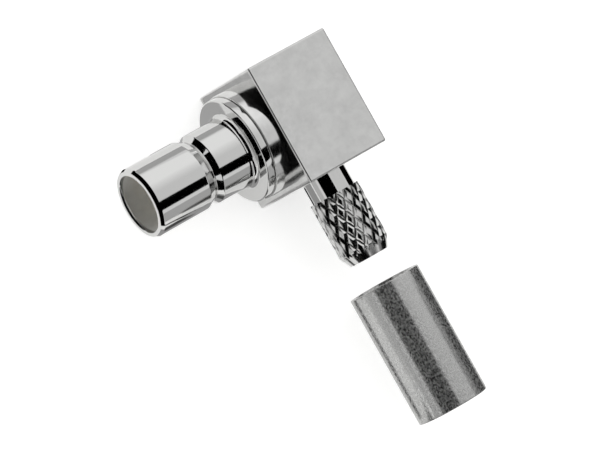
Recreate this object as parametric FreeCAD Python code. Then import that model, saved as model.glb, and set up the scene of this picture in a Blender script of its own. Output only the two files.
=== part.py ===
# Right-angle coaxial crimp connector of the push-fit size with a 3.7 mm barrel, and its crimp ferrule.
#
# Frame, in millimetres: the connector lies on the underside of its square block, and the origin is the
# centre of that face. +Z is up, +X is the way the coupling barrel points, +Y the way the crimp stem points.
# Both axes cross in the middle of the block, at the height mid_z.
import FreeCAD, Part
import math
import os

from FreeCAD import Vector

# Body block
block_side = 6.35            # square section, seen from the front, 1/4 inch
block_depth = 4.75           # front face to back face, 3/16 inch
block_edge_break = 0.10      # small chamfer on all its edges
boss_diameter = 5.66         # turned boss on the front face
boss_height = 0.84
boss_edge_break = 0.05

# Coupling barrel, outside
barrel_diameter = 3.70       # over the two lands
mating_length = 5.85         # flange face to mouth
front_land_length = 2.84     # full diameter, behind the mouth chamfer
mouth_chamfer_length = 0.20
mouth_rim_diameter = 3.50    # flat rim left by the chamfer
groove_diameter = 3.22       # floor of the snap groove
groove_ramp_length = 0.54    # shallow ramp behind the front land, so that a plug can be pulled off
groove_floor_length = 0.04
groove_step_length = 0.25    # steeper flank up to the rear land
flange_diameter = 5.52
flange_thickness = 0.46
flange_edge_break = 0.05
root_fillet = 0.27           # between the rear land and the flange face

# Coupling barrel, inside and pressed end
mating_bore = 3.00           # also the bore that the insulator fills further in
mouth_lead_diameter = 3.10
mouth_lead_length = 0.18
spigot_diameter = 4.00       # pressed into the block
spigot_length = 1.60
spigot_lead = 0.10
seat_diameter = 3.30         # counterbore for the insulator's collar
seat_depth = 0.80

# Front insulator
bead_recess = 3.15           # mouth of the barrel to the front of the insulator

# Centre contact
pin_diameter = 0.50
pin_setback = 0.95           # mouth of the barrel to the tip of the pin
post_diameter = 0.90         # inside the insulator and at the solder end
barb_diameter = 1.20         # collar that locks it in the insulator
barb_length = 0.50
barb_setback = 1.40          # front of the insulator to the front of the collar
post_overrun = 0.45          # how far the solder end runs past the stem's axis
wire_slot_width = 0.42
wire_slot_depth = 0.75

# Space inside the block, and what closes it
cavity_diameter = 2.80
cap_diameter = 4.00
cap_thickness = 0.80
cap_edge_break = 0.08
rear_disc_thickness = 0.50

# Crimp stem
stem_neck_diameter = 2.35
stem_neck_length = 1.07
stem_insert = 1.30           # pressed length inside the block
stem_length = 4.65           # block face to free end
stem_bore = 1.60             # goes on at this diameter into the block's cavity
stem_tip_diameter = 2.12
stem_taper_length = 0.60
knurl_diameter = 2.67
knurl_depth = 0.10
knurl_starts = 16
knurl_angle = 28.0           # degrees from the stem's axis
knurl_crest_cut = 0.09       # height missing from the sharp crests, so that each diamond keeps a flat top

# Crimp ferrule, lying off the stem
ferrule_diameter = 3.80
ferrule_bore = 3.20
ferrule_length = 7.05
ferrule_edge_break = 0.06
ferrule_gap = 1.46           # end of the stem to the near end of the ferrule, as laid out
ferrule_seat_gap = 0.10      # left to the block when it is slid on all the way

# Places that follow from these sizes
mid_z = block_side / 2
front_x = block_depth / 2
boss_x = front_x + boss_height
flange_x = boss_x + flange_thickness
mouth_x = flange_x + mating_length
spigot_x = boss_x - spigot_length
bead_x = mouth_x - bead_recess
cap_x = -block_depth / 2
side_y = block_side / 2
stem_tip_y = side_y + stem_length
ferrule_y = stem_tip_y + ferrule_gap
ferrule_travel = ferrule_y - side_y - ferrule_seat_gap

X = Vector(1, 0, 0)
Y = Vector(0, 1, 0)
Z = Vector(0, 0, 1)


def turned(profile, along, centre):
    """Solid of revolution from (station, radius) points, stations measured along the axis."""
    points = [centre + along * s + Z * r for s, r in profile]
    wire = Part.makePolygon(points + [points[0]])
    return Part.Face(wire).revolve(centre, along, 360)


def on_barrel_axis(profile):
    return turned(profile, X, Vector(0, 0, mid_z))


def on_stem_axis(profile):
    return turned(profile, Y, Vector(0, 0, mid_z))


def rod(diameter, start, end):
    """Profile of a plain rod between two stations."""
    return [(start, 0), (start, diameter / 2), (end, diameter / 2), (end, 0)]


def body_block():
    block = Part.makeBox(block_depth, block_side, block_side,
                         Vector(-block_depth / 2, -block_side / 2, 0))
    block = block.makeChamfer(block_edge_break, block.Edges)
    r = boss_diameter / 2
    boss = on_barrel_axis([(0, 0), (0, r), (boss_x - boss_edge_break, r),
                           (boss_x, r - boss_edge_break), (boss_x, 0)])
    block = block.fuse(boss)
    block = block.cut(on_barrel_axis(rod(spigot_diameter, spigot_x, boss_x + 1)))
    block = block.cut(on_barrel_axis(rod(cavity_diameter, cap_x, boss_x)))
    block = block.cut(on_barrel_axis(rod(cap_diameter, cap_x - 1, cap_x + cap_thickness)))
    block = block.cut(on_stem_axis(rod(stem_neck_diameter, side_y - stem_insert, side_y + 1)))
    block = block.cut(on_stem_axis(rod(stem_bore, 0, side_y)))
    return block.removeSplitter()


def coupling_barrel():
    land = barrel_diameter / 2
    rim = mouth_rim_diameter / 2
    groove = groove_diameter / 2
    flange = flange_diameter / 2
    spigot = spigot_diameter / 2
    bore = mating_bore / 2
    land_front = mouth_x - mouth_chamfer_length
    ramp_top = land_front - front_land_length
    ramp_foot = ramp_top - groove_ramp_length
    step_foot = ramp_foot - groove_floor_length
    step_top = step_foot - groove_step_length
    profile = [
        (mouth_x, mouth_lead_diameter / 2),
        (mouth_x, rim),
        (land_front, land),
        (ramp_top, land),
        (ramp_foot, groove),
        (step_foot, groove),
        (step_top, land),
        (flange_x, land),
        (flange_x, flange - flange_edge_break),
        (flange_x - flange_edge_break, flange),
        (boss_x + flange_edge_break, flange),
        (boss_x, flange - flange_edge_break),
        (boss_x, spigot),
        (spigot_x + spigot_lead, spigot),
        (spigot_x, spigot - spigot_lead),
        (spigot_x, seat_diameter / 2),
        (spigot_x + seat_depth, seat_diameter / 2),
        (spigot_x + seat_depth, bore),
        (mouth_x - mouth_lead_length, bore),
    ]
    barrel = on_barrel_axis(profile)
    corner = [e for e in barrel.Edges if is_circle(e, flange_x, land)]
    return barrel.makeFillet(root_fillet, corner)


def is_circle(edge, x, radius):
    """True for the round edge of this radius at this station of the barrel."""
    curve = edge.Curve
    if not isinstance(curve, Part.Circle):
        return False
    return abs(curve.Center.x - x) < 1e-4 and abs(curve.Radius - radius) < 1e-4


def front_insulator():
    bead = on_barrel_axis([
        (spigot_x, 0), (spigot_x, seat_diameter / 2),
        (spigot_x + seat_depth, seat_diameter / 2), (spigot_x + seat_depth, mating_bore / 2),
        (bead_x, mating_bore / 2), (bead_x, 0)])
    return bead.cut(centre_contact())


def centre_contact():
    pin = pin_diameter / 2
    post = post_diameter / 2
    barb = barb_diameter / 2
    tip_x = mouth_x - pin_setback
    barb_front = bead_x - barb_setback
    end_x = -post_overrun
    nose = Part.Arc(Vector(tip_x, 0, mid_z), Vector(tip_x - pin * (1 - math.sqrt(0.5)), 0,
                    mid_z + pin * math.sqrt(0.5)), Vector(tip_x - pin, 0, mid_z + pin))
    steps = [(tip_x - pin, pin), (bead_x, pin), (bead_x, post), (barb_front, post),
             (barb_front, barb), (barb_front - barb_length, barb), (barb_front - barb_length, post),
             (end_x, post), (end_x, 0), (tip_x, 0)]
    points = [Vector(s, 0, mid_z + r) for s, r in steps]
    wire = Part.Wire([nose.toShape()] + Part.makePolygon(points).Edges)
    contact = Part.Face(wire).revolve(Vector(0, 0, mid_z), X, 360)
    slot = Part.makeBox(wire_slot_depth, post_diameter * 2, wire_slot_width,
                        Vector(end_x, -post_diameter, mid_z - wire_slot_width / 2))
    return contact.cut(slot)


def rear_insulator():
    start = cap_x + cap_thickness
    return on_barrel_axis(rod(cavity_diameter, start, start + rear_disc_thickness))


def rear_cap():
    r = cap_diameter / 2
    return on_barrel_axis([(cap_x, 0), (cap_x, r - cap_edge_break), (cap_x + cap_edge_break, r),
                           (cap_x + cap_thickness, r), (cap_x + cap_thickness, 0)])


def fluted_bar(start, length, hand):
    """Bar with knurl_starts V grooves that wind round the stem's axis; hand is +1 or -1."""
    ridge = knurl_diameter / 2 + knurl_crest_cut
    valley = knurl_diameter / 2 - knurl_depth
    corners = []
    for i in range(2 * knurl_starts):
        angle = math.pi * i / knurl_starts
        r = ridge if i % 2 == 0 else valley
        corners.append(Vector(r * math.cos(angle), start, mid_z + r * math.sin(angle)))
    section = Part.makePolygon(corners + [corners[0]])
    lead = math.pi * knurl_diameter / math.tan(math.radians(knurl_angle))
    spine = Part.Wire(Part.makeLine(Vector(0, start, mid_z), Vector(0, start + length, mid_z)))
    guide = Part.makeHelix(lead, length, ridge, 0, hand < 0)
    guide.rotate(Vector(0, 0, 0), X, -90)
    guide.translate(Vector(0, start, mid_z))
    sweep = Part.BRepOffsetAPI.MakePipeShell(spine)
    sweep.setAuxiliarySpine(guide, True, 0)
    sweep.add(section)
    sweep.build()
    sweep.makeSolid()
    return Part.Solid(sweep.shape())


def crimp_stem():
    neck = stem_neck_diameter / 2
    knurl = knurl_diameter / 2
    tip = stem_tip_diameter / 2
    knurl_y = side_y + stem_neck_length
    taper_y = stem_tip_y - stem_taper_length
    pitch = math.pi * knurl_diameter / knurl_starts
    blank = on_stem_axis([(knurl_y, 0), (knurl_y, knurl), (taper_y, knurl), (stem_tip_y, tip),
                          (stem_tip_y, 0)])
    for hand in (1, -1):
        blank = blank.common(fluted_bar(knurl_y - pitch, stem_tip_y - knurl_y + 2 * pitch, hand))
    shank = on_stem_axis(rod(2 * neck, side_y - stem_insert, knurl_y))
    stem = shank.fuse(blank)
    return stem.cut(on_stem_axis(rod(stem_bore, side_y - stem_insert - 1, stem_tip_y + 1)))


def crimp_ferrule():
    outer = ferrule_diameter / 2
    inner = ferrule_bore / 2
    start = ferrule_y
    end = ferrule_y + ferrule_length
    cut = ferrule_edge_break
    return on_stem_axis([(start, inner), (start, outer - cut), (start + cut, outer),
                         (end - cut, outer), (end, outer - cut), (end, inner)])


pieces = {
    "body_block": body_block,
    "coupling_barrel": coupling_barrel,
    "front_insulator": front_insulator,
    "centre_contact": centre_contact,
    "rear_insulator": rear_insulator,
    "rear_cap": rear_cap,
    "crimp_stem": crimp_stem,
    "crimp_ferrule": crimp_ferrule,
}

os.makedirs("parts", exist_ok=True)
for name, make in pieces.items():
    shape = make()
    shape.exportStep("parts/" + name + ".step")
    box = shape.BoundBox
    print(name, "solids", len(shape.Solids), "valid", shape.isValid(), "volume", round(shape.Volume, 3),
          "box", [round(v, 3) for v in (box.XMin, box.YMin, box.ZMin, box.XMax, box.YMax, box.ZMax)])
print("ferrule travel", round(ferrule_travel, 3))
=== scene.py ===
"""Right-angle coaxial crimp connector with its crimp ferrule laid out beside the stem.

Everything is in metres. +X is the way the coupling barrel points, +Y the way the crimp stem
points, and the block lies on z = 0.
"""
import math

import bmesh
import bpy
from bpy.props import FloatProperty, FloatVectorProperty, IntProperty, PointerProperty
from bpy.types import Operator, Panel, PropertyGroup
from mathutils import Matrix, Vector


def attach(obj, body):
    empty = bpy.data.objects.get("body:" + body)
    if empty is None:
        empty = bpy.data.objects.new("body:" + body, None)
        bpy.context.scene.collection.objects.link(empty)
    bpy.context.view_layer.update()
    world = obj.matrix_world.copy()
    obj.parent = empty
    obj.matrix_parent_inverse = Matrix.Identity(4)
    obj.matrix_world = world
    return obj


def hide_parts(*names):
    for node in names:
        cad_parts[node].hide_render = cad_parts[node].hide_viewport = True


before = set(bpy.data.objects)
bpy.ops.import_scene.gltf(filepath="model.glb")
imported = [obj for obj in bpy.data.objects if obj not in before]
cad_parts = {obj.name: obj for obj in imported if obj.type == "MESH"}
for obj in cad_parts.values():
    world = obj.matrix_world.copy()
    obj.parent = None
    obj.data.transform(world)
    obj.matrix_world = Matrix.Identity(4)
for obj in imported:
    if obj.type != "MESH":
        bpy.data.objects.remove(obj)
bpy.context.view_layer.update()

bl_info = {
    "name": "Right-angle crimp connector",
    "version": (1, 0, 0),
    "blender": (4, 5, 0),
    "location": "3D Viewport > Sidebar > Connector",
    "description": "Nickel-plated right-angle coaxial connector with its crimp ferrule",
    "category": "Object",
}

MM = 0.001
TINY = 1e-7             # metres; no two points of a form are meant to lie closer
ROUND = 192             # faces round the large turned forms
SMALL_ROUND = 96        # and round small holes
PIN_ROUND = 64          # and round the centre contact
X = Vector((1, 0, 0))
Y = Vector((0, 1, 0))
Z = Vector((0, 0, 1))


def linear(code):
    """Linear colour of an sRGB hex code such as #C8C4BE."""
    parts = [int(code[i:i + 2], 16) / 255 for i in (1, 3, 5)]
    return tuple(c / 12.92 if c <= 0.04045 else ((c + 0.055) / 1.055) ** 2.4 for c in parts)


def measure(name, value, description):
    """A size property; the value is in millimetres."""
    return FloatProperty(name=name, description=description, default=value * MM, min=0.0,
                         precision=5, subtype="DISTANCE", unit="LENGTH")


def colour(name, code, description):
    """A colour property; the code is an sRGB hex code."""
    return FloatVectorProperty(name=name, description=description, default=linear(code), min=0.0,
                               max=1.0, size=3, subtype="COLOR")


def share(name, value, description):
    """A property from 0 to 1."""
    return FloatProperty(name=name, description=description, default=value, min=0.0, max=1.0,
                         subtype="FACTOR")


class BlockSizes(PropertyGroup):
    """Square body block with its turned boss"""
    side: measure("Side", 6.35, "Square section of the bar, seen from the front")
    depth: measure("Depth", 4.75, "Front face to back face")
    edge_break: measure("Edge break", 0.10, "Rounding of the block's edges by tumbling")
    boss_diameter: measure("Boss diameter", 5.66, "Turned boss on the front face")
    boss_height: measure("Boss height", 0.84, "Front face to the joint with the barrel")
    joint_break: measure("Joint break", 0.05, "Edge break on each side of the joint line")
    cavity_diameter: measure("Cavity diameter", 2.80, "Hole where the wire is soldered")
    cap_diameter: measure("Cap diameter", 4.00, "Disc pressed into the back")
    cap_thickness: measure("Cap thickness", 0.80, "Thickness of that disc")
    cap_break: measure("Cap edge break", 0.08, "Chamfer of the disc's outer edge")
    cap_seam: measure("Cap seam", 0.02, "Chamfer of the hole for that disc")
    well_break: measure("Stem hole break", 0.03, "Chamfer of the hole for the stem")
    well_depth: measure("Stem hole depth", 1.65, "Side face to the end of that hole")


class BarrelSizes(PropertyGroup):
    """Turned coupling barrel"""
    diameter: measure("Diameter", 3.70, "Over the two lands")
    mating: measure("Mating length", 5.85, "Flange face to mouth")
    front_land: measure("Front land", 2.84, "Full diameter behind the mouth")
    chamfer: measure("Mouth chamfer", 0.20, "Length of the chamfer round the mouth")
    rim: measure("Rim diameter", 3.50, "Outside of the flat rim")
    groove: measure("Groove diameter", 3.22, "Floor of the snap groove")
    groove_ramp: measure("Groove ramp", 0.54, "Shallow ramp behind the front land")
    groove_floor: measure("Groove floor", 0.04, "Flat floor of the groove")
    groove_step: measure("Groove step", 0.25, "Steeper flank up to the rear land")
    flange_diameter: measure("Flange diameter", 5.52, "Round flange against the boss")
    flange_thickness: measure("Flange thickness", 0.46, "Thickness of the flange")
    root: measure("Root fillet", 0.27, "Fillet between the rear land and the flange")
    bore: measure("Bore", 3.00, "Mating bore")
    lead: measure("Lead diameter", 3.10, "Widened mouth of the bore")
    lead_length: measure("Lead length", 0.18, "Depth of the widened mouth")
    spigot_diameter: measure("Spigot diameter", 4.00, "Pressed end inside the block")
    spigot_length: measure("Spigot length", 1.60, "Length of the pressed end")
    spigot_chamfer: measure("Spigot chamfer", 0.10, "Lead-in of the pressed end")
    seat_diameter: measure("Seat diameter", 3.30, "Counterbore for the insulator's collar")
    seat_depth: measure("Seat depth", 0.80, "Depth of that counterbore")
    insulator_recess: measure("Insulator recess", 3.15, "Mouth to the front of the insulator")


class ContactSizes(PropertyGroup):
    """Centre contact and the disc behind it"""
    pin: measure("Pin diameter", 0.50, "Mating pin")
    setback: measure("Pin setback", 0.95, "Mouth to the tip of the pin")
    post: measure("Post diameter", 0.90, "Inside the insulator and at the solder end")
    barb: measure("Barb diameter", 1.20, "Collar that locks it in the insulator")
    barb_length: measure("Barb length", 0.50, "Length of that collar")
    barb_setback: measure("Barb setback", 1.40, "Front of the insulator to the collar")
    overrun: measure("Overrun", 0.45, "How far the solder end runs past the stem's axis")
    slot_width: measure("Slot width", 0.42, "Slot that the wire lies in")
    slot_depth: measure("Slot depth", 0.75, "Depth of that slot")
    disc: measure("Disc thickness", 0.50, "Insulating disc behind the solder joint")


class StemSizes(PropertyGroup):
    """Crimp stem and ferrule"""
    neck_diameter: measure("Neck diameter", 2.35, "Smooth neck beside the block")
    neck: measure("Neck length", 1.07, "Length of the smooth neck")
    insert: measure("Pressed length", 1.30, "Length inside the block")
    length: measure("Stem length", 4.65, "Block face to free end")
    bore: measure("Stem bore", 1.60, "Bore for the cable's insulation")
    tip: measure("Tip diameter", 2.12, "Free end of the taper")
    taper: measure("Taper length", 0.60, "Length of the taper")
    knurl: measure("Knurl diameter", 2.67, "Over the diamonds")
    knurl_depth: measure("Knurl depth", 0.10, "Depth of the V grooves")
    crest_cut: measure("Crest cut", 0.09, "Height missing from sharp crests, which leaves flat tops")
    starts: IntProperty(name="Knurl starts", description="Grooves of each hand", default=16, min=3)
    angle: FloatProperty(name="Knurl angle", description="Between a groove and the stem's axis",
                         default=math.radians(28), subtype="ANGLE", unit="ROTATION")
    ferrule_diameter: measure("Ferrule diameter", 3.80, "Outside of the ferrule")
    ferrule_bore: measure("Ferrule bore", 3.20, "Inside of the ferrule")
    ferrule_length: measure("Ferrule length", 7.05, "End to end")
    ferrule_break: measure("Ferrule edge break", 0.06, "Rounding of its ends")
    ferrule_gap: measure("Ferrule gap", 1.46, "End of the stem to the ferrule, as laid out")


class Finishes(PropertyGroup):
    """Colours and polish of the platings and the insulator"""
    nickel: colour("Nickel", "#C4C4C3", "Bright nickel plate")
    gold: colour("Gold", "#E0B45C", "Hard gold plate")
    drawn_nickel: colour("Drawn nickel", "#BEBEBD", "Nickel plate on the annealed ferrule")
    satin: colour("Satin nickel", "#EBEBE9", "Dull nickel plate inside the coupling barrel")
    ptfe: colour("PTFE", "#EDEDE8", "Turned PTFE")
    turned: share("Turned polish", 0.07, "Roughness of the turned and plated pieces")
    milled: share("Milled polish", 0.13, "Roughness of the block's flats")
    drawn: share("Drawn polish", 0.15, "Roughness of the ferrule's bright grains")
    knurled: share("Knurled polish", 0.15, "Roughness of the knurl")
    bored: share("Bored polish", 0.75, "Roughness inside the coupling barrel")


class Studio(PropertyGroup):
    """White table, overhead panel and pale room"""
    floor: colour("Floor", "#F2F2F1", "Paper that the connector lies on")
    panel: FloatProperty(name="Panel", description="Radiance of the overhead panel", default=0.90,
                         min=0.0)
    room: FloatProperty(name="Room", description="Radiance of the pale room", default=0.80, min=0.0)


def corner(bm, at, size, segments):
    """Rounds the profile's corner nearest to a point."""
    near = min(bm.verts, key=lambda v: (v.co - at).length)
    bmesh.ops.bevel(bm, geom=[near], offset=size, offset_type="OFFSET", affect="VERTICES",
                    segments=segments, profile=0.5, material=-1)


def turned(points, axis, mid, roundings=(), closed=True, steps=ROUND):
    """Bmesh spun round an axis that lies mid above the table.

    The points are (station along the axis, radius), the roundings (point index, size, segments).
    """
    bm = bmesh.new()
    base = Z * mid
    places = [base + axis * s + Z * r for s, r in points]
    verts = [bm.verts.new(p) for p in places]
    pairs = list(zip(verts, verts[1:]))
    if closed:
        pairs.append((verts[-1], verts[0]))
    for a, b in pairs:
        bm.edges.new((a, b))
    for index, size, segments in roundings:
        corner(bm, places[index], size, segments)
    bmesh.ops.spin(bm, geom=bm.verts[:] + bm.edges[:], cent=base, axis=axis, angle=math.tau,
                   steps=steps, use_merge=True, use_duplicate=False)
    bmesh.ops.remove_doubles(bm, verts=bm.verts[:], dist=TINY)
    bmesh.ops.recalc_face_normals(bm, faces=bm.faces[:])
    return bm


def finish_piece(bm, name, body, stands_for, materials, sharp=35):
    """Makes the object, smooth apart from edges of more than sharp degrees, and ties it to the frame."""
    for f in bm.faces:
        f.smooth = True
    for e in bm.edges:
        e.smooth = len(e.link_faces) == 2 and e.calc_face_angle() < math.radians(sharp)
    mesh = bpy.data.meshes.new(name)
    bm.to_mesh(mesh)
    bm.free()
    for material in materials:
        mesh.materials.append(material)
    piece = bpy.data.objects.new(name, mesh)
    bpy.context.scene.collection.objects.link(piece)
    flat = piece.modifiers.new("flat faces stay flat", "WEIGHTED_NORMAL")
    flat.keep_sharp = True
    flat.weight = 100
    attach(piece, body)
    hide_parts(stands_for)
    return piece


def node(tree, kind, settings=None, inputs=None):
    """Adds a node; an input is a value, or (node, output name) for a link."""
    made = tree.nodes.new(kind)
    for key, value in (settings or {}).items():
        setattr(made, key, value)
    for key, value in (inputs or {}).items():
        if isinstance(value, tuple) and isinstance(value[0], bpy.types.Node):
            tree.links.new(value[0].outputs[value[1]], made.inputs[key])
        else:
            made.inputs[key].default_value = value
    return made


def new_material(name):
    """An empty material and its node tree."""
    material = bpy.data.materials.new(name)
    material.use_nodes = True
    material.node_tree.nodes.clear()
    return material, material.node_tree


def object_place(tree):
    """Link to the object coordinates, in metres."""
    return node(tree, "ShaderNodeTexCoord"), "Object"


def stretched(tree, vector, scale):
    """Link to coordinates that have their own scale along each axis."""
    return node(tree, "ShaderNodeMapping", inputs={"Vector": vector, "Scale": scale}), "Vector"


def noise(tree, vector, scale, detail=2.0, roughness=0.5):
    """Link to a noise over linked coordinates."""
    made = node(tree, "ShaderNodeTexNoise", inputs={
        "Vector": vector, "Scale": scale, "Detail": detail, "Roughness": roughness})
    return made, "Fac"


def spread(tree, value, old, new):
    """Link to a linked value whose range old becomes the range new."""
    made = node(tree, "ShaderNodeMapRange", inputs={
        "Value": value, "From Min": old[0], "From Max": old[1], "To Min": new[0], "To Max": new[1]})
    return made, "Result"


def mottled(tree, value, base, low, high):
    """Link to a colour that runs from base * low to base * high with a linked noise.

    Inputs 7 to 10 are From Min, From Max, To Min and To Max of the node's vector form.
    """
    made = node(tree, "ShaderNodeMapRange", {"data_type": "FLOAT_VECTOR"}, {
        "Vector": value, 7: (0.3, 0.3, 0.3), 8: (0.7, 0.7, 0.7),
        9: Vector(base) * low, 10: Vector(base) * high})
    return made, "Vector"


def relief(tree, height, depth):
    """Link to the normal of a bump that is depth metres deep."""
    made = node(tree, "ShaderNodeBump", inputs={"Height": height, "Strength": 1.0, "Distance": depth})
    return made, "Normal"


def bare_metal(tree, tint, roughness, normal=None):
    """Link to a metal's shader."""
    inputs = {"Base Color": tint, "Metallic": 1.0, "Roughness": roughness}
    if normal:
        inputs["Normal"] = normal
    return node(tree, "ShaderNodeBsdfPrincipled", inputs=inputs), "BSDF"


def surface(tree, shader):
    """Ends a material's tree with a linked shader."""
    node(tree, "ShaderNodeOutputMaterial", inputs={"Surface": shader})


def turned_nickel(name, axis, finish, polish):
    """Nickel-plated turned brass.

    The lathe leaves rings about 0.05 mm apart, and the bright plating nearly fills them, so the
    metal mirrors like glass with a faint cross-grain.
    """
    material, tree = new_material(name)
    place = object_place(tree)
    along = Vector((1, 1, 1)) * 400 + axis * 20000      # rings, stretched round the axis
    rings = noise(tree, stretched(tree, place, along), 1.0)
    cloud = noise(tree, place, 1400.0, detail=3.0)
    dull = spread(tree, cloud, (0.35, 0.7), (polish * 0.8, polish * 1.3))
    surface(tree, bare_metal(tree, (*finish.nickel, 1), dull, relief(tree, rings, 0.0004 * MM)))
    return material


def milled_nickel(name, finish):
    """Nickel-plated brass bar, milled and tumbled.

    Tumbling leaves broad shallow clouds and a very fine speckle on the flats.
    """
    material, tree = new_material(name)
    place = object_place(tree)
    cloud = noise(tree, place, 900.0, detail=3.0)
    speck = noise(tree, place, 14000.0)
    height = node(tree, "ShaderNodeMath", {"operation": "MULTIPLY_ADD"}, {0: cloud, 1: 12.0, 2: speck})
    dull = spread(tree, cloud, (0.3, 0.7), (finish.milled * 0.85, finish.milled * 1.2))
    blotch = noise(tree, place, 1500.0, detail=4.0, roughness=0.6)
    tint = mottled(tree, blotch, finish.nickel, 0.94, 1.08)
    surface(tree, bare_metal(tree, tint, dull, relief(tree, (height, "Value"), 0.0003 * MM)))
    return material


def bored_nickel(name, finish):
    """Nickel plate on a reamed bore.

    Plating hardly brightens the inside of a deep hole, so the wall stays an even satin grey.
    """
    material, tree = new_material(name)
    cloud = noise(tree, object_place(tree), 2500.0, detail=3.0)
    dull = spread(tree, cloud, (0.3, 0.7), (finish.bored * 0.9, finish.bored * 1.15))
    surface(tree, bare_metal(tree, (*finish.satin, 1), dull))
    return material


def drawn_nickel(name, finish):
    """Nickel-plated drawn copper tube, annealed.

    Annealing leaves pale matt grains between darker bright ones. Light reflections look even on
    both, while dark ones turn granular and keep fairly sharp borders.
    """
    material, tree = new_material(name)
    grain = noise(tree, stretched(tree, object_place(tree), (1, 0.6, 1)), 13000.0, roughness=0.6)
    matt = spread(tree, grain, (0.38, 0.64), (0.15, 0.95))
    tint = mottled(tree, grain, finish.drawn_nickel, 0.88, 1.15)
    dents = relief(tree, grain, 0.003 * MM)
    bright = bare_metal(tree, tint, finish.drawn, dents)
    dull = bare_metal(tree, tint, finish.drawn * 4, dents)
    both = node(tree, "ShaderNodeMixShader", inputs={0: matt, 1: bright, 2: dull})
    surface(tree, (both, "Shader"))
    return material


def gold_plate(name, finish):
    """Hard gold over nickel on turned brass: a warm mirror with a trace of lathe rings."""
    material, tree = new_material(name)
    rings = noise(tree, stretched(tree, object_place(tree), (25000, 500, 500)), 1.0)
    dull = spread(tree, rings, (0.0, 1.0), (0.12, 0.26))
    surface(tree, bare_metal(tree, (*finish.gold, 1), dull))
    return material


def turned_ptfe(name, finish):
    """Turned PTFE: waxy white, a little light passes into it, with soft rings from the tool."""
    material, tree = new_material(name)
    rings = noise(tree, stretched(tree, object_place(tree), (9000, 600, 600)), 1.0)
    wax = node(tree, "ShaderNodeBsdfPrincipled", inputs={
        "Base Color": (*finish.ptfe, 1), "Roughness": spread(tree, rings, (0.0, 1.0), (0.38, 0.55)),
        "IOR": 1.35, "Subsurface Weight": 0.25, "Subsurface Radius": (1.0, 1.0, 1.0),
        "Subsurface Scale": 0.15 * MM, "Normal": relief(tree, rings, 0.002 * MM)})
    surface(tree, (wax, "BSDF"))
    return material


def open_face(bm, normal, centre, radius, steps):
    """Opens a round hole in the flat face that looks along normal and gives back its edges."""
    face = max(bm.faces, key=lambda f: (round(f.normal.dot(normal), 3), f.calc_area()))
    margin = 0.1 * MM
    bmesh.ops.inset_individual(bm, faces=[face], thickness=margin, use_even_offset=True)
    border = face.edges[:]
    bmesh.ops.delete(bm, geom=[face], context="FACES_ONLY")
    bmesh.ops.subdivide_edges(bm, edges=border, cuts=steps // 4 - 1)
    eighth = Matrix.Rotation(math.radians(45), 4, "Z")      # so that the circle starts at a corner
    turn = Z.rotation_difference(normal).to_matrix().to_4x4() @ eighth
    outer = [e for e in bm.edges if e.is_boundary and
             abs((e.verts[0].co - centre).dot(normal)) < 10 * TINY]
    circle = bmesh.ops.create_circle(bm, segments=steps, radius=radius, cap_ends=False,
                                     matrix=Matrix.Translation(centre) @ turn)
    inner = list(dict.fromkeys(e for v in circle["verts"] for e in v.link_edges))
    bmesh.ops.bridge_loops(bm, edges=outer + inner)
    return inner


def follow(bm, edges, centre, axis, stations):
    """Extrudes a round edge loop along its axis through (distance, radius) stations."""
    for distance, radius in stations:
        made = bmesh.ops.extrude_edge_only(bm, edges=edges)["geom"]
        edges = [g for g in made if isinstance(g, bmesh.types.BMEdge)]
        for v in dict.fromkeys(v for e in edges for v in e.verts):
            out = v.co - centre
            out -= axis * out.dot(axis)
            v.co = centre + axis * distance + out.normalized() * radius
    return edges


class CONNECTOR_OT_block(Operator):
    """Build the square body block with its boss and its three holes"""
    bl_idname = "connector.block"
    bl_label = "Body Block"

    def execute(self, context):
        k = context.scene.connector_block
        b = context.scene.connector_barrel
        s = context.scene.connector_stem
        mid = k.side / 2
        bm = bmesh.new()
        bmesh.ops.create_cube(bm, size=1, matrix=Matrix.Translation(Z * mid) @ Matrix.Diagonal(
            (k.depth, k.side, k.side, 1)))
        bmesh.ops.bevel(bm, geom=bm.edges[:], offset=k.edge_break, offset_type="OFFSET",
                        affect="EDGES", segments=4, profile=0.5, material=-1)
        bm.normal_update()
        front, back = X * k.depth / 2 + Z * mid, X * -k.depth / 2 + Z * mid
        side = Y * k.side / 2 + Z * mid
        boss, j = k.boss_diameter / 2, k.joint_break
        hole, cavity = b.spigot_diameter / 2, k.cavity_diameter / 2
        ring = open_face(bm, X, front, boss, ROUND)
        top = k.boss_height
        less, more = j * 0.15, j * 0.4      # two points of the rounded edge, in from its corner
        ring = follow(bm, ring, front, X, [
            (top - j, boss), (top - more, boss - less), (top - less, boss - more),
            (top, boss - j), (top, hole), (top - b.spigot_length, hole),
            (top - b.spigot_length, cavity), (k.cap_thickness - k.depth, cavity),
            (k.cap_thickness - k.depth, hole)])
        rim = k.cap_diameter / 2
        away = open_face(bm, -X, back, rim + k.cap_seam, ROUND)
        away = follow(bm, away, back, X, [(k.cap_seam, rim)])
        bmesh.ops.bridge_loops(bm, edges=ring + away)
        neck = s.neck_diameter / 2
        well = open_face(bm, Y, side, neck + k.well_break, SMALL_ROUND)
        well = follow(bm, well, side, Y, [(-k.well_break, neck), (-s.insert, neck),
                                          (-s.insert, s.bore / 2), (-k.well_depth, s.bore / 2)])
        bmesh.ops.edgeloop_fill(bm, edges=well)
        bmesh.ops.recalc_face_normals(bm, faces=bm.faces[:])
        finish = context.scene.connector_finish
        metal = milled_nickel("nickel plate on milled and tumbled brass", finish)
        finish_piece(bm, "block", "connector", "body_block", [metal], sharp=40)
        return {"FINISHED"}


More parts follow.
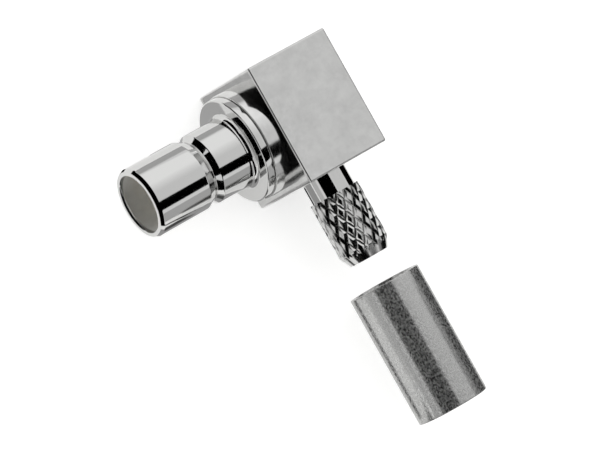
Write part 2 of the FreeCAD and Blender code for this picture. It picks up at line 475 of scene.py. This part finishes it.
class CONNECTOR_OT_barrel(Operator):
    """Spin the coupling barrel with its snap groove, mouth and flange"""
    bl_idname = "connector.barrel"
    bl_label = "Coupling Barrel"

    def execute(self, context):
        k = context.scene.connector_block
        b = context.scene.connector_barrel
        land, rim, groove = b.diameter / 2, b.rim / 2, b.groove / 2
        flange, spigot, bore = b.flange_diameter / 2, b.spigot_diameter / 2, b.bore / 2
        joint = k.depth / 2 + k.boss_height
        face = joint + b.flange_thickness
        mouth = face + b.mating
        inner = joint - b.spigot_length
        chamfer = mouth - b.chamfer
        ramp = chamfer - b.front_land
        foot = ramp - b.groove_ramp
        floor = foot - b.groove_floor
        step = floor - b.groove_step
        e = k.joint_break
        profile = [
            (mouth, b.lead / 2), (mouth, rim), (chamfer, land), (ramp, land), (foot, groove),
            (floor, groove), (step, land), (face, land), (face, flange - e), (face - e, flange),
            (joint + e, flange), (joint, flange - e), (joint, spigot),
            (inner + b.spigot_chamfer, spigot), (inner, spigot - b.spigot_chamfer),
            (inner, b.seat_diameter / 2),
            (inner + b.seat_depth, b.seat_diameter / 2), (inner + b.seat_depth, bore),
            (mouth - b.lead_length, bore)]
        # Point of the profile, its rounding in mm and the rounding's segments
        soft = [(0, 0.015, 3), (1, 0.02, 3), (2, 0.03, 4), (3, 0.04, 4), (4, 0.015, 2), (5, 0.015, 2),
                (6, 0.04, 4), (7, b.root / MM, 8), (8, 0.018, 3), (9, 0.018, 3), (10, 0.018, 3),
                (11, 0.018, 3)]
        bm = turned(profile, X, k.side / 2, [(i, r * MM, n) for i, r, n in soft])
        wall = bore * 1.005      # takes in the bore's faces and nothing outside them
        for f in bm.faces:
            at = f.calc_center_median()
            if at.x > inner and math.hypot(at.y, at.z - k.side / 2) < wall:
                f.material_index = 1
        finish = context.scene.connector_finish
        metals = [turned_nickel("bright nickel plate on brass turned along X", X, finish, finish.turned),
                  bored_nickel("nickel plate on reamed brass", finish)]
        finish_piece(bm, "barrel", "connector", "coupling_barrel", metals)
        return {"FINISHED"}


class CONNECTOR_OT_insides(Operator):
    """Spin the centre contact, its insulator and the disc behind the solder joint"""
    bl_idname = "connector.insides"
    bl_label = "Contact and Insulators"

    def execute(self, context):
        k = context.scene.connector_block
        b = context.scene.connector_barrel
        c = context.scene.connector_contact
        finish = context.scene.connector_finish
        mid = k.side / 2
        joint = k.depth / 2 + k.boss_height
        mouth = joint + b.flange_thickness + b.mating
        inner = joint - b.spigot_length
        bead = mouth - b.insulator_recess
        pin, post, barb = c.pin / 2, c.post / 2, c.barb / 2
        tip, lock, end = mouth - c.setback, bead - c.barb_setback, -c.overrun
        profile = [(tip, 0), (tip, pin), (bead, pin), (bead, post), (lock, post), (lock, barb),
                   (lock - c.barb_length, barb), (lock - c.barb_length, post), (end, post), (end, 0)]
        nearly_all = pin * 0.98      # the pin's end is rounded almost to a half ball
        bm = turned(profile, X, mid, [(1, nearly_all, 8)], closed=False, steps=PIN_ROUND)
        slot_x, half = end + c.slot_depth, c.slot_width / 2
        for at, way in ((X * slot_x, X), (Z * (mid + half), Z), (Z * (mid - half), Z)):
            bmesh.ops.bisect_plane(bm, geom=bm.verts[:] + bm.edges[:] + bm.faces[:], plane_co=at,
                                   plane_no=way, dist=TINY / 10)
        gone = [f for f in bm.faces if f.calc_center_median().x < slot_x and
                abs(f.calc_center_median().z - mid) < half]
        bmesh.ops.delete(bm, geom=gone, context="FACES")
        bmesh.ops.holes_fill(bm, edges=[e for e in bm.edges if e.is_boundary], sides=0)
        bmesh.ops.recalc_face_normals(bm, faces=bm.faces[:])
        finish_piece(bm, "contact", "connector", "centre_contact",
                     [gold_plate("hard gold plate on turned brass", finish)])
        white = turned_ptfe("turned PTFE", finish)
        soft = 0.03 * MM
        seat, bore = b.seat_diameter / 2, b.bore / 2
        profile = [(inner, post), (inner, seat), (inner + b.seat_depth, seat),
                   (inner + b.seat_depth, bore), (bead, bore), (bead, post)]
        bm = turned(profile, X, mid, [(4, soft, 3)])
        finish_piece(bm, "front_bead", "connector", "front_insulator", [white])
        start = k.cap_thickness - k.depth / 2
        cavity = k.cavity_diameter / 2
        profile = [(start, 0), (start, cavity), (start + c.disc, cavity), (start + c.disc, 0)]
        bm = turned(profile, X, mid, [(1, soft, 3), (2, soft, 3)], closed=False, steps=SMALL_ROUND)
        finish_piece(bm, "rear_disc", "connector", "rear_insulator", [white])
        return {"FINISHED"}


class CONNECTOR_OT_cap(Operator):
    """Spin the cap that closes the back of the block"""
    bl_idname = "connector.cap"
    bl_label = "Rear Cap"

    def execute(self, context):
        k = context.scene.connector_block
        back, r, e = -k.depth / 2, k.cap_diameter / 2, k.cap_break
        profile = [(back, 0), (back, r - e), (back + e, r), (back + k.cap_thickness, r),
                   (back + k.cap_thickness, 0)]
        soft = 0.02 * MM
        bm = turned(profile, X, k.side / 2, [(1, soft, 3), (2, soft, 3)], closed=False)
        finish = context.scene.connector_finish
        metal = turned_nickel("bright nickel plate on faced brass", X, finish, finish.turned)
        finish_piece(bm, "cap", "connector", "rear_cap", [metal])
        return {"FINISHED"}


class CONNECTOR_OT_stem(Operator):
    """Spin the crimp stem and press its diamond knurl"""
    bl_idname = "connector.stem"
    bl_label = "Crimp Stem"

    def execute(self, context):
        k = context.scene.connector_block
        s = context.scene.connector_stem
        mid, side = k.side / 2, k.side / 2
        neck, knurl, tip, bore = s.neck_diameter / 2, s.knurl / 2, s.tip / 2, s.bore / 2
        start, end = side + s.neck, side + s.length
        taper = end - s.taper
        # One row of faces is as long as a groove takes to wind past one face, so every groove runs
        # along the faces' diagonals; poking the faces gives it an edge there. The grooves of both
        # hands cross at the origin, one pitch before the knurl starts.
        faces_per_groove = 16
        steps = s.starts * faces_per_groove
        lead = math.tau * knurl / math.tan(s.angle)
        row = lead / steps
        origin = start - math.tau * knurl / s.starts
        first, last = math.ceil((start - origin) / row), math.floor((end - origin) / row)
        rows = [(origin + row * i, knurl) for i in range(first, last + 1)]
        cut = [(start, knurl)] + rows + [(end, knurl)]
        profile = [(side - s.insert, bore), (side - s.insert, neck), (start, neck)] + cut + [(end, bore)]
        bm = turned(profile, Y, mid, steps=steps)
        band = [f for f in bm.faces if start + TINY < f.calc_center_median().y < end - TINY and
                math.hypot(f.calc_center_median().x, f.calc_center_median().z - mid) > neck]
        bmesh.ops.poke(bm, faces=band, center_mode="MEAN_WEIGHTED")
        deep = s.knurl_depth + s.crest_cut
        for v in bm.verts:
            across = Vector((v.co.x, 0, v.co.z - mid))
            if v.co.y < start - TINY or across.length < neck + 10 * TINY:
                continue
            turn = math.atan2(across.z, across.x)
            wind = math.tau * (v.co.y - origin) / lead
            ridge = [abs((s.starts * (turn + way * wind) / math.tau) % 1.0 - 0.5) * 2 for way in (1, -1)]
            cone = knurl + (tip - knurl) * max(0.0, v.co.y - taper) / s.taper
            r = min(cone, knurl + s.crest_cut - deep * (1 - min(ridge)))
            across *= r / across.length
            v.co = (across.x, v.co.y, across.z + mid)
        bm.normal_update()
        for f in bm.faces:
            f.material_index = int(f.calc_center_median().y > start)
        finish = context.scene.connector_finish
        metals = [turned_nickel("bright nickel plate on brass turned along Y", Y, finish, finish.turned),
                  turned_nickel("nickel plate on knurled brass", Y, finish, finish.knurled)]
        finish_piece(bm, "stem", "connector", "crimp_stem", metals, sharp=28)
        return {"FINISHED"}


class CONNECTOR_OT_ferrule(Operator):
    """Spin the crimp ferrule, laid out in line with the stem"""
    bl_idname = "connector.ferrule"
    bl_label = "Crimp Ferrule"

    def execute(self, context):
        k = context.scene.connector_block
        s = context.scene.connector_stem
        start = k.side / 2 + s.length + s.ferrule_gap
        end = start + s.ferrule_length
        inner, outer, e = s.ferrule_bore / 2, s.ferrule_diameter / 2, s.ferrule_break
        profile = [(start, inner), (start, outer), (end, outer), (end, inner)]
        bm = turned(profile, Y, k.side / 2, [(1, e, 5), (2, e, 5), (0, e * 0.5, 3), (3, e * 0.5, 3)])
        finish = context.scene.connector_finish
        metal = drawn_nickel("nickel plate on annealed drawn copper tube", finish)
        finish_piece(bm, "ferrule", "ferrule", "crimp_ferrule", [metal])
        return {"FINISHED"}


def seen(tree):
    """Link to 1 where the lens looks, straight or by way of a mirror or glass, and to 0 for light."""
    path = node(tree, "ShaderNodeLightPath")
    two = node(tree, "ShaderNodeMath", {"operation": "ADD"},
               {0: (path, "Is Camera Ray"), 1: (path, "Is Glossy Ray")})
    three = node(tree, "ShaderNodeMath", {"operation": "ADD", "use_clamp": True},
                 {0: (two, "Value"), 1: (path, "Is Transmission Ray")})
    return three, "Value"


def white_paper(name, studio):
    """Matt paper: it looks white to the lens and in mirrors, and keeps its shadow."""
    material, tree = new_material(name)
    fibre = noise(tree, object_place(tree), 900.0, detail=4.0)
    sheet = node(tree, "ShaderNodeBsdfDiffuse", inputs={
        "Color": (*studio.floor, 1), "Roughness": spread(tree, fibre, (0.0, 1.0), (0.85, 1.0))})
    lift = node(tree, "ShaderNodeMath", {"operation": "MULTIPLY"}, {0: seen(tree), 1: 0.5})
    white = node(tree, "ShaderNodeEmission", inputs={"Color": (1, 1, 1, 1), "Strength": (lift, "Value")})
    both = node(tree, "ShaderNodeAddShader", inputs={0: (sheet, "BSDF"), 1: (white, "Emission")})
    surface(tree, (both, "Shader"))
    return material


def shine(tree, strength):
    """Gives off white light with a strength that is a number or a link."""
    light = node(tree, "ShaderNodeEmission", inputs={"Color": (1, 1, 1, 1), "Strength": strength})
    surface(tree, (light, "Emission"))


def card_stock(name, strength):
    """Even card; polished metal mirrors it with this strength."""
    material, tree = new_material(name)
    shine(tree, strength)
    return material


def diffusion_cloth(name, strength, height):
    """Lit cloth at a height above the table, brighter towards -Y."""
    material, tree = new_material(name)
    parts = node(tree, "ShaderNodeSeparateXYZ", inputs={0: object_place(tree)})
    shine(tree, spread(tree, (parts, "Y"), (-0.1 * height, -0.7 * height), (strength, strength * 1.4)))
    return material


def card(name, corners, material, mirrored_only=True):
    """Flat studio card from its corners; a mirrored one is seen by polished metal alone."""
    mesh = bpy.data.meshes.new(name)
    bm = bmesh.new()
    bm.faces.new([bm.verts.new(Vector(c)) for c in corners])
    bm.to_mesh(mesh)
    bm.free()
    mesh.materials.append(material)
    made = bpy.data.objects.new(name, mesh)
    bpy.context.scene.collection.objects.link(made)
    made.visible_camera = False
    made.visible_transmission = False
    made.visible_shadow = False
    made.visible_diffuse = not mirrored_only


def overhead(west, east, south, north, height):
    """Corners of a level card, given as slopes from the connector and its height."""
    return [(x * height, y * height, height) for x, y in
            ((west, south), (east, south), (east, north), (west, north))]


def upright(start, end, low, high):
    """Corners of a card that stands on edge between two floor points."""
    return [(*start, low), (*end, low), (*end, high), (*start, high)]


def laid(points, z):
    """Corners of a level card from its plan."""
    return [(*point, z) for point in points]


def flat(x0, x1, y0, y1, z):
    """Corners of a level card whose sides follow the axes."""
    return laid(((x0, y0), (x1, y0), (x1, y1), (x0, y1)), z)


def lay_table(scene, studio):
    """Lays the paper just below the connector."""
    mesh = bpy.data.meshes.new("table")
    bm = bmesh.new()
    bmesh.ops.create_grid(bm, x_segments=1, y_segments=1, size=1.5,
                          matrix=Matrix.Translation(Z * -0.01 * MM))
    bm.to_mesh(mesh)
    bm.free()
    mesh.materials.append(white_paper("matt white paper", studio))
    table = bpy.data.objects.new("table", mesh)
    scene.collection.objects.link(table)


def set_cards(studio):
    """Sets up the overhead panel and the black and grey cards that the metal mirrors.

    They are placed where the bands in the photograph's reflections look. Level cards lie a
    little above the paper, those that overlap at different heights.
    """
    black = card_stock("black flock card", 0.0)
    pale = card_stock("pale grey card", 0.70)
    grey = card_stock("grey card", 0.58)
    # The dark grey and the deep grey card are used only for painted shadow of the pieces on the paper.
    shade = card_stock("painted shade card", 0.45)
    dark = card_stock("charcoal card", 0.30)
    deep = card_stock("painted shadow card", 0.10)

    ceiling = 0.4
    cloth = diffusion_cloth("diffusion cloth", studio.panel, ceiling)
    card("panel", overhead(-1.88, 0.0, -5.0, 0.42, ceiling), cloth, mirrored_only=False)
    card("card_over_lens", overhead(0.07, 2.15, -1.0, 1.23, ceiling), black)
    card("card_behind_lens", overhead(-1.0, 0.07, 0.42, 1.23, ceiling), black)

    low, middle, top = 0.01 * MM, 0.015 * MM, 0.02 * MM
    near, far = ((0.012, -0.06), (0.05, -0.036)), ((0.048, 0.045), (0.014, 0.06))
    card("card_left_low", flat(-0.2, -0.009, -0.01, 0.05, top), black)
    card("card_left_upright", upright((-0.06, -0.02), (-0.06, 0.06), 0.0, 0.029), black)
    card("card_right_near", upright(*near, 0.0, 0.085), black)
    card("card_right_near_low", laid(((0.0035, -0.016), *near, (0.0125, -0.0125)), top), black)
    card("card_right_far", upright(*far, 0.0, 0.085), black)
    card("card_right_far_low", laid(((0.0175, 0.0175), *far, (0.004, 0.0175)), top), black)

    # The strip by the ferrule and the cards named shade are painted shadow: they lie on the paper where
    # the pieces' own shadow falls, and only the metal mirrors them.
    card("ferrule_shadow_strip", flat(0.0029, 0.0044, 0.009, 0.0165, low), deep)
    card("card_near_low", flat(-0.09, 0.003, -0.09, -0.015, top), grey)
    card("shade_beside_barrel", flat(0.0026, 0.0115, 0.0031, 0.0088, low), shade)
    card("shade_by_mouth", flat(0.0082, 0.0100, -0.0042, -0.0026, low), black)
    card("shade_past_boss", flat(0.0050, 0.0078, 0.0050, 0.0088, top), deep)
    card("shade_before_block", flat(0.0025, 0.0062, -0.0033, -0.0012, low), grey)
    card("card_left_by_ferrule", upright((-0.03, 0.0088), (-0.03, 0.05), 0.0138, 0.0255), dark)
    card("shade_under_neck", flat(0.0006, 0.0019, 0.0033, 0.0044, middle), black)

    card("card_near_upright", upright((-0.09, -0.09), (0.0, -0.09), 0.0, 0.0143), grey)
    card("card_far_upright", upright((-0.09, 0.07), (0.004, 0.07), 0.0, 0.04), grey)
    card("card_front_low", flat(0.017, 0.09, -0.012, 0.0175, top), pale)
    card("card_front_upright", upright((0.09, -0.06), (0.09, 0.06), 0.0, 0.024), pale)


def paint_room(scene, studio):
    """Makes the room pale for the light and white to the lens and in mirrors."""
    world = bpy.data.worlds.new("pale room")
    scene.world = world
    world.use_nodes = True
    tree = world.node_tree
    tree.nodes.clear()
    level = spread(tree, seen(tree), (0.0, 1.0), (studio.room, 1.0))
    air = node(tree, "ShaderNodeBackground", inputs={"Color": (1, 1, 1, 1), "Strength": level})
    node(tree, "ShaderNodeOutputWorld", inputs={"Surface": (air, "Background")})


def set_camera(scene):
    """Sets the camera that was fitted to the photograph."""
    place = Vector((90.33, 1.03, 182.73)) * MM
    right = Vector((-0.77911, 0.48971, 0.39138))
    up = Vector((-0.44707, -0.87169, 0.20072))
    lens = bpy.data.cameras.new("camera")
    lens.sensor_width = 36.0
    lens.lens = 243.6
    lens.clip_start, lens.clip_end = 0.005, 5.0
    camera = bpy.data.objects.new("camera", lens)
    turn = Matrix((right, up, right.cross(up))).transposed().to_4x4()
    camera.matrix_world = Matrix.Translation(place) @ turn
    scene.collection.objects.link(camera)
    scene.camera = camera


class CONNECTOR_OT_stage(Operator):
    """Lay out the white table, the light panel, the cards, the room and the camera"""
    bl_idname = "connector.stage"
    bl_label = "Studio"

    def execute(self, context):
        scene = context.scene
        studio = scene.connector_studio
        lay_table(scene, studio)
        set_cards(studio)
        paint_room(scene, studio)
        scene.view_settings.view_transform = "Standard"
        set_camera(scene)
        return {"FINISHED"}


STEPS = (CONNECTOR_OT_block, CONNECTOR_OT_barrel, CONNECTOR_OT_insides, CONNECTOR_OT_cap,
         CONNECTOR_OT_stem, CONNECTOR_OT_ferrule, CONNECTOR_OT_stage)
GROUPS = (("connector_block", BlockSizes), ("connector_barrel", BarrelSizes),
          ("connector_contact", ContactSizes), ("connector_stem", StemSizes),
          ("connector_finish", Finishes), ("connector_studio", Studio))


class CONNECTOR_PT_sidebar(Panel):
    """The connector's pieces and their sizes"""
    bl_idname = "CONNECTOR_PT_sidebar"
    bl_label = "Crimp Connector"
    bl_space_type = "VIEW_3D"
    bl_region_type = "UI"
    bl_category = "Connector"

    def draw(self, context):
        column = self.layout.column(align=True)
        for step in STEPS:
            column.operator(step.bl_idname)
        for name, group in GROUPS:
            box = self.layout.box()
            box.label(text=group.__doc__)
            values = getattr(context.scene, name)
            for key in group.__annotations__:
                box.prop(values, key)


def register():
    for name, group in GROUPS:
        bpy.utils.register_class(group)
        setattr(bpy.types.Scene, name, PointerProperty(type=group))
    for step in STEPS:
        bpy.utils.register_class(step)
    bpy.utils.register_class(CONNECTOR_PT_sidebar)


def unregister():
    bpy.utils.unregister_class(CONNECTOR_PT_sidebar)
    for step in reversed(STEPS):
        bpy.utils.unregister_class(step)
    for name, group in reversed(GROUPS):
        delattr(bpy.types.Scene, name)
        bpy.utils.unregister_class(group)


def main():
    register()
    bpy.ops.connector.block()
    bpy.ops.connector.barrel()
    bpy.ops.connector.insides()
    bpy.ops.connector.cap()
    bpy.ops.connector.stem()
    bpy.ops.connector.ferrule()
    bpy.ops.connector.stage()


if __name__ == "__main__":
    main()
